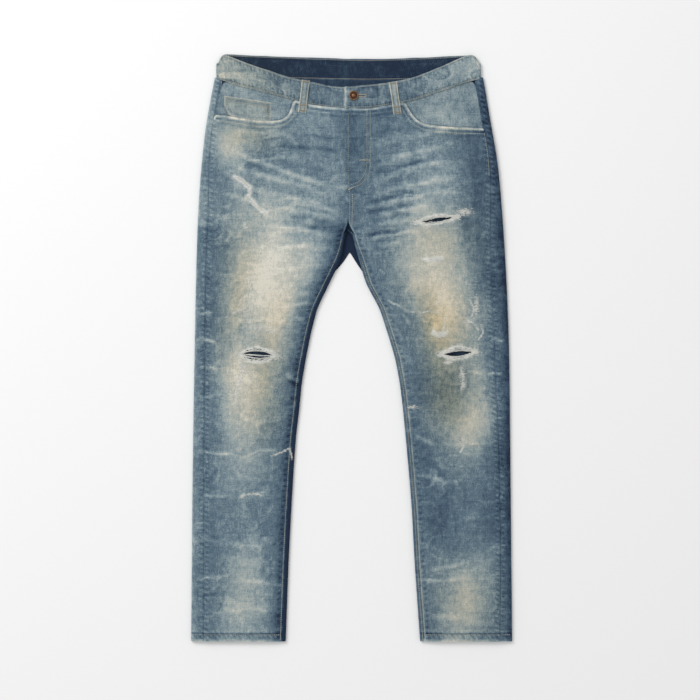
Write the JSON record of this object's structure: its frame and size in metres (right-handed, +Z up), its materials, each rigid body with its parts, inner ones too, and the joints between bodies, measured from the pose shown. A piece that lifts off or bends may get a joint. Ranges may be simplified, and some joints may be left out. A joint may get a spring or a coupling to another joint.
{
  "type": "ripped jeans",
  "caption": "Slim washed denim jeans laid flat with the front up, worn through at the knees and one thigh, with a buttoned waistband, scooped front pockets and belt loops.",
  "frame": {"origin": "on the surface that the jeans lie on, under the middle of their bounding box", "axes": "+Z up out of the front of the jeans, +Y from the hems to the waist, +X towards the wearer's left leg"},
  "size_m": [0.5613, 1.027, 0.0122],
  "materials": {
    "front_denim": "washed blue twill, bleached and tinted at thigh and knee",
    "back_denim": "washed blue twill, darker at the edges",
    "band_denim": "washed blue twill, worn pale along its edges",
    "trim_denim": "washed blue twill with pale ochre stitching",
    "button_metal": "aged copper"
  },
  "bodies": {
    "root": {"front_right": "front_denim", "front_left": "front_denim", "back_right": "back_denim", "back_left": "back_denim", "yoke_right": "back_denim", "yoke_left": "back_denim", "back_pocket_right": "back_denim", "back_pocket_left": "back_denim", "waistband": "band_denim", "pocket_facing_right": "trim_denim", "pocket_facing_left": "trim_denim", "coin_pocket": "trim_denim", "belt_loop_front_right": "trim_denim", "belt_loop_front_left": "trim_denim", "belt_loop_back_right": "trim_denim", "belt_loop_back_left": "trim_denim", "belt_loop_centre_back": "trim_denim", "button": "button_metal"}
  },
  "joints": []
}
